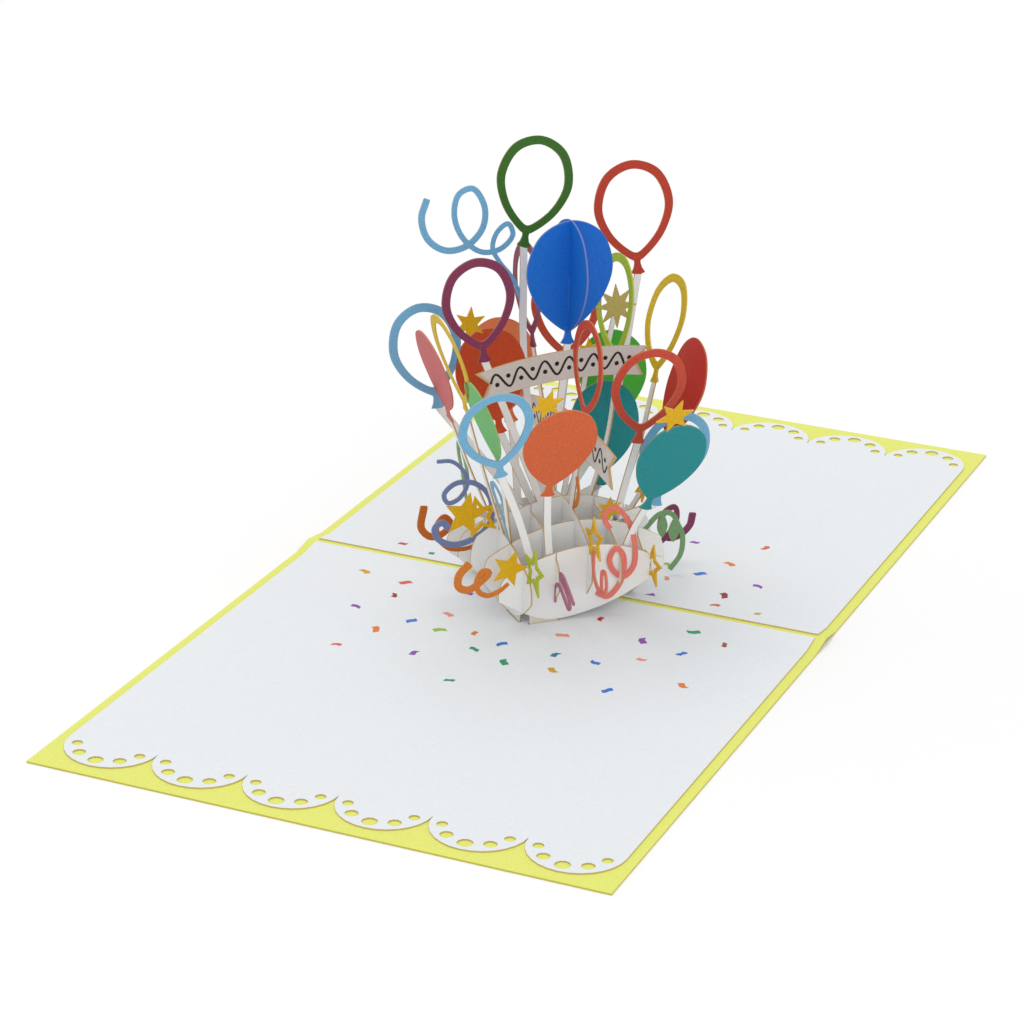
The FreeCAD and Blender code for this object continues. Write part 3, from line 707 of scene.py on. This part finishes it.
a3.streamer(slate,
            [(-35.5, 42), (-31.5, 41.5), (-28, 38), (-27.2, 34.5), (-29.5, 30.8), (-32.5, 30),
             (-33.6, 32.5), (-30.5, 35.2), (-25.5, 34.8), (-21.5, 31.5), (-20, 27), (-21, 22),
             (-25.5, 18.8), (-31, 18), (-35.2, 20.3), (-36, 23.2), (-34, 24.6), (-32.3, 23)],
            (0.7, 1.3), True)
a3.streamer(leaf_green,
            [(21.5, 9.5), (22.5, 13.5), (25, 16), (28, 18.8), (30.5, 19.2), (32.5, 18.2),
             (34, 15.3), (35.5, 12), (35.2, 6.5), (32.4, 2.6)], upright=True)
for drop in ((25.6, 11.2), (29.4, 15.2), (32.8, 13.4)):
    a3.drop(leaf_green, drop)
a3.finish()


# Slice a4 leans back a little and is the tallest, also slit from above. It carries the dark green
# and red rings at the top with a light blue curl, and orange-red and teal balloons, a light blue
# ring, small stars and two curls lower down.
dark_green = printed("dark_green_ring", 58, 108, 32)
red = printed("red_ring", 188, 62, 42)
orange_red = printed("orange_red_balloon", 208, 78, 36)
khaki = printed("khaki_star", 192, 176, 98)
rust_curl = printed("rust_curl", 198, 104, 34)
plum_curl = printed("plum_curl", 128, 56, 92)
a4 = Slice("slice_a4", "a", 1)
a4.balloon(dark_green, (-0.9, 83.5), 13, -2.0, ring=True, shape=(21.5, 26.0))
a4.balloon(red, (27.3, 74.2), -2, 12.5, ring=True, shape=(22.8, 27.0))
a4.balloon(light_blue, (-33.0, 43.0), -10, -8.0, ring=True)
a4.balloon(orange_red, (-15.0, 34.5), -6, -5.0)
a4.balloon(teal, (16.5, 17.0), 6, 7.0)
a4.star(gold, (-20.5, 48.6), 4.6, 6, 8)
a4.star(khaki, (21.3, 49.2), 6.0, 8, root=5.5)
a4.star(gold, (13.0, 38.0), 3.6, 6, root=3.8)
a4.streamer(light_blue,
            [(-31, 82), (-32.6, 77.5), (-31.2, 72), (-26.5, 68.6), (-20.5, 69.2), (-15.8, 73.5),
             (-15, 79), (-18, 84), (-22, 82.8), (-23.5, 77.5), (-21.5, 71.5), (-16.5, 67.3),
             (-11, 67.6), (-7.4, 71), (-8.6, 74), (-11.8, 72), (-13.2, 68), (-11.5, 64.2),
             (-8, 59.5), (-5.5, 53)], (1.3, 0.8))
a4.streamer(rust_curl,
            [(-20.5, 13), (-24.5, 12.4), (-28.6, 13.2), (-31.6, 16.4), (-32, 20.2), (-30, 22.2),
             (-28.2, 20.2), (-30.2, 17.6), (-33.6, 17), (-36.4, 19.8), (-35.8, 25.5)],
            (0.8, 1.5), True)
a4.streamer(plum_curl,
            [(21.5, 7), (26.5, 5), (31.5, 5.5), (35.5, 8.8), (37.8, 13), (37, 16.5),
             (34, 15.2), (33, 11.5), (35, 7.8), (38.5, 7.8), (41.8, 10.5), (42.5, 13.5)],
            (0.8, 1.5), True)
a4.finish()


# Slice a5 is the farthest, on a tab through the far liner, and slit from above. Its coral ring and
# its green and salmon balloons show between the others.
bright_green = printed("bright_green_balloon", 66, 166, 48)
salmon = printed("salmon_balloon", 234, 134, 88)
a5 = Slice("slice_a5", "a", 2)
a5.tab(12.0)
a5.balloon(coral, (14.0, 49.0), 6, 4.5, ring=True)
a5.balloon(bright_green, (25.5, 30.0), 12, 8.0)
a5.balloon(salmon, (-5.8, 36.5), -3, -5.5)
a5.finish()


# Slice b1 runs the other way at the left, on a tab, and is slit from below to drop over the a
# slices. Its paper, seen nearly edge on, carries pink and green balloons, a yellow ring, two curls
# and a lime star.
pink = printed("pink_balloon", 202, 100, 98)
yellow = printed("yellow_ring", 212, 180, 22)
fresh_green = printed("fresh_green_balloon", 104, 184, 102)
lime = printed("lime_star", 172, 186, 44)
sage = printed("sage_curl", 118, 164, 112)
b1 = Slice("slice_b1", "b", -2, right=24.0)
b1.tab(12.0)
b1.balloon(pink, (-7.5, 45.5), 10, -4.5)
b1.balloon(yellow, (14.5, 57.3), 12, 2.5, ring=True, shape=(20.0, 27.5))
b1.balloon(fresh_green, (25.5, 43.5), 3, 6.8, shape=(18.0, 23.0))
b1.star(lime, (25.0, 18.5), 6.8, 5, 5, outline=True, upright=True)
b1.link((17.0, 9.5), (22.2, 15.8))
b1.streamer(sage,
            [(-17, 14.5), (-21, 16.5), (-24, 20.5), (-27.5, 27), (-30.5, 31.5), (-30.8, 34),
             (-27.5, 32.5), (-24.5, 29), (-22.5, 25)], upright=True)
b1.streamer(light_blue,
            [(7.2, -1.5), (9.2, 6), (8.6, 12), (9.4, 17.5), (12.5, 19.2), (14.6, 16.5),
             (12.8, 10), (9.5, 3)])
b1.finish()


# Slice b2 is mostly foot, slit from below like the other b slices. It has only a mauve curl,
# close to the front end.
mauve = printed("mauve_curl", 178, 108, 142)
b2 = Slice("slice_b2", "b", -1, right=21.0)
b2.streamer(mauve,
            [(18.4, 6.6), (18.9, 10.9), (20.6, 11.9), (24.5, 9.7), (27.4, 8), (28.4, 9),
             (25.2, 12.2), (21.4, 14.2), (21.2, 15.2), (23.5, 15), (26.3, 13.4), (30.4, 10.6)],
            upright=True, width=1.2)
b2.finish()


# Slice b3 is the middle one of its family, upright and slit from below. It carries a coral and a
# plum ring, the lower banner, an orange curl, and a star and a salmon curl at its front end.
b3 = Slice("slice_b3", "b", 0, right=21.5)
b3.balloon(coral, (13.8, 40.4), 5, 6.0, ring=True, shape=(19.0, 26.0))
b3.balloon(plum, (-28.0, 49.0), -18, -6.0, ring=True)
b3.banner((-26.0, 14.5), (33.0, 18.5), 3.5, 9.5)
b3.streamer(orange_curl, [(9.5, 36.5), (10.6, 33), (9, 29), (5, 26.8)], upright=True)
b3.star(gold, (22.0, 24.0), 6.2, 5, -8, outline=True, upright=True)
b3.link((16.0, 12.0), (20.0, 21.4))
b3.streamer(salmon_curl,
            [(22, 20.5), (22.2, 15.5), (24, 12.5), (28, 11), (30.6, 13.5), (29.6, 17.5),
             (27.6, 17), (27.4, 12.2)], upright=True)
b3.finish()


# Slice b4 leans to the right a little and is slit from below. It carries only the tall
# yellow-green ring.
yellow_green = printed("yellow_green_ring", 168, 198, 44)
b4 = Slice("slice_b4", "b", 1, right=20.0)
b4.balloon(yellow_green, (-11.0, 52.0), -30, -3.5, ring=True, shape=(22.0, 28.0))
b4.finish()


# Slice b5 stands at the right, on a tab, and is slit from below. It carries a yellow ring and a
# deep red balloon, whose paper has curled a little, and two open stars on short bars.
deep_red = printed("deep_red_balloon", 196, 52, 40)
b5 = Slice("slice_b5", "b", 2, right=14.0)
b5.tab(-12.0)
b5.balloon(yellow, (-16.0, 49.6), -22, -4.5, ring=True, shape=(20.5, 26.5))
b5.balloon(deep_red, (4.8, 38.0), -10, 1.5, shape=(20.0, 27.0), cup=1.2)
b5.star(gold, (19.4, 13.4), 6.0, 5, 4, outline=True, upright=True)
b5.link((8.0, 10.0), (16.0, 13.0))
b5.star(gold, (5.0, 9.5), 4.5, 5, 10, outline=True)
b5.link((2.4, -1.2), (4.2, 7.4), upright=False)
b5.finish()


# The cross leaf is a second blue oval, slotted over the big balloon to give it four wings. It is
# slit from below to its middle, and hangs on the bulb of slice a3 with nothing under it.
leaf = Slice("balloon_cross", "b", 0, footed=False)
leaf.top += blue_middle
half_slot = slot_width / 2
leaf_low, leaf_high = -big_balloon[1] / 2, big_balloon[1] / 2
for side in (-1, 1):
    wing = [p for p in balloon_outline(*big_balloon) if p.x * side > 0.6]
    wing.sort(key=lambda p: p.y)
    foot_end, crown = Vector((side * half_slot, leaf_low + 0.05)), Vector((0.0, leaf_high))
    edge = [foot_end] + wing + [crown]
    points, faces = [], []
    for p in edge:
        slit = p.y < 0
        inner = side * half_slot if slit else 0.0
        for share, rim in ((0.0, float(slit)), (0.08, 0), (0.5, 0), (0.96, 0), (1.0, 1)):
            points.append((inner + (p.x - inner) * share, p.y, rim))
    for k in range(len(edge) - 1):
        for j in range(4):
            a = 5 * k + j
            faces.append([a, a + 1, a + 6, a + 5][::side])
    leaf.add(points, faces, big_blue, sheet["bulb"])
leaf.finish()


# The floor is a wide sheet of white paper that the card lies on. From 17 cm off the card's middle
# its shaded white fades to a plain one, so that it has no visible edge.
floor_half, floor_drop = 3.0, 0.05 * mm
fade_start, fade_end = 0.17, 0.30
mesh = bpy.data.meshes.new("floor")
corners = [(-floor_half, -floor_half, 0), (floor_half, -floor_half, 0),
           (floor_half, floor_half, 0), (-floor_half, floor_half, 0)]
mesh.from_pydata(corners, [], [(0, 1, 2, 3)])
floor = put("floor", mesh)
floor.location.z = -floor_drop
floor_white = bpy.data.materials.new("floor_white")
floor_white.use_nodes = True
nodes, links = floor_white.node_tree.nodes, floor_white.node_tree.links
floor_shader = nodes["Principled BSDF"]
floor_shader.inputs["Base Color"].default_value = (0.97, 0.97, 0.97, 1.0)
floor_shader.inputs["Roughness"].default_value = 0.8
floor_shader.inputs["Specular IOR Level"].default_value = 0.1
place = nodes.new("ShaderNodeTexCoord")
nearness = nodes.new("ShaderNodeVectorMath")
nearness.operation = "LENGTH"
links.new(place.outputs["Object"], nearness.inputs[0])
fade = nodes.new("ShaderNodeMapRange")
fade.inputs["From Min"].default_value = fade_start
fade.inputs["From Max"].default_value = fade_end
links.new(nearness.outputs["Value"], fade.inputs["Value"])


def in_view(nodes, links):
    """1 for rays from the camera and for those that glossy or clear surfaces send on."""
    rays = nodes.new("ShaderNodeLightPath")
    seen = rays.outputs["Is Camera Ray"]
    for kind in ("Is Glossy Ray", "Is Transmission Ray"):
        either = nodes.new("ShaderNodeMath")
        either.operation = "MAXIMUM"
        links.new(seen, either.inputs[0])
        links.new(rays.outputs[kind], either.inputs[1])
        seen = either.outputs[0]
    return seen


looked_at = nodes.new("ShaderNodeMath")
looked_at.operation = "MULTIPLY"
links.new(fade.outputs["Result"], looked_at.inputs[0])
links.new(in_view(nodes, links), looked_at.inputs[1])
plain = nodes.new("ShaderNodeEmission")
plain.inputs["Color"].default_value = (1.0, 1.0, 1.0, 1.0)
plain.inputs["Strength"].default_value = 1.0
blend = nodes.new("ShaderNodeMixShader")
links.new(looked_at.outputs[0], blend.inputs["Fac"])
links.new(floor_shader.outputs[0], blend.inputs[1])
links.new(plain.outputs[0], blend.inputs[2])
links.new(blend.outputs[0], nodes["Material Output"].inputs["Surface"])
mesh.materials.append(floor_white)


# The light is the even glow of a white tent, with a large soft lamp above the card and a weaker
# one at its right front.
tent_glow = 0.75
world = bpy.data.worlds.new("tent")
bpy.context.scene.world = world
world.use_nodes = True
nodes, links = world.node_tree.nodes, world.node_tree.links
background = nodes["Background"]
background.inputs["Color"].default_value = (1.0, 1.0, 1.0, 1.0)
level = nodes.new("ShaderNodeMapRange")
level.inputs["To Min"].default_value = tent_glow
level.inputs["To Max"].default_value = 1.0
links.new(in_view(nodes, links), level.inputs["Value"])
links.new(level.outputs["Result"], background.inputs["Strength"])


def lamp(name, spot, aim, width, power):
    """Square soft lamp at a spot, turned to its aim."""
    light = bpy.data.lights.new(name, "AREA")
    light.shape = "SQUARE"
    light.size = width
    light.energy = power
    holder = put(name, light)
    holder.location = spot
    holder.rotation_euler = (Vector(aim) - Vector(spot)).to_track_quat("-Z", "Y").to_euler()


lamp("top_light", (-0.35, 0.25, 1.25), (0, 0, 0.03), 0.9, 5.0)
lamp("front_light", (0.7, -1.1, 0.9), (0, 0, 0.05), 0.8, 3.0)


# The camera looks down on the card from its right front, from about 0.9 m, through a long lens.
# It is fitted to the card's own corners, and its frame is square.
camera_place = Vector((0.3110, -0.7734, 0.3639))
azimuth, elevation, roll = (math.radians(angle) for angle in (22.82, 22.25, 1.45))
focal_pixels, frame_pixels, sensor_width = 3396.0, 1024.0, 36.0
camera = bpy.data.cameras.new("camera")
camera.sensor_width = sensor_width
camera.lens = focal_pixels / frame_pixels * sensor_width
camera.clip_start, camera.clip_end = 0.05, 20.0
back = Vector((math.sin(azimuth) * math.cos(elevation),
               -math.cos(azimuth) * math.cos(elevation), math.sin(elevation)))
level_right = (-back).cross(Vector((0, 0, 1))).normalized()
level_up = level_right.cross(-back)
right = math.cos(roll) * level_right + math.sin(roll) * level_up
up = math.cos(roll) * level_up - math.sin(roll) * level_right
stand = Matrix((right, up, back)).transposed().to_4x4()
stand.translation = camera_place
holder = put("camera", camera)
holder.matrix_world = stand
bpy.context.scene.camera = holder
bpy.context.scene.view_settings.view_transform = "Standard"
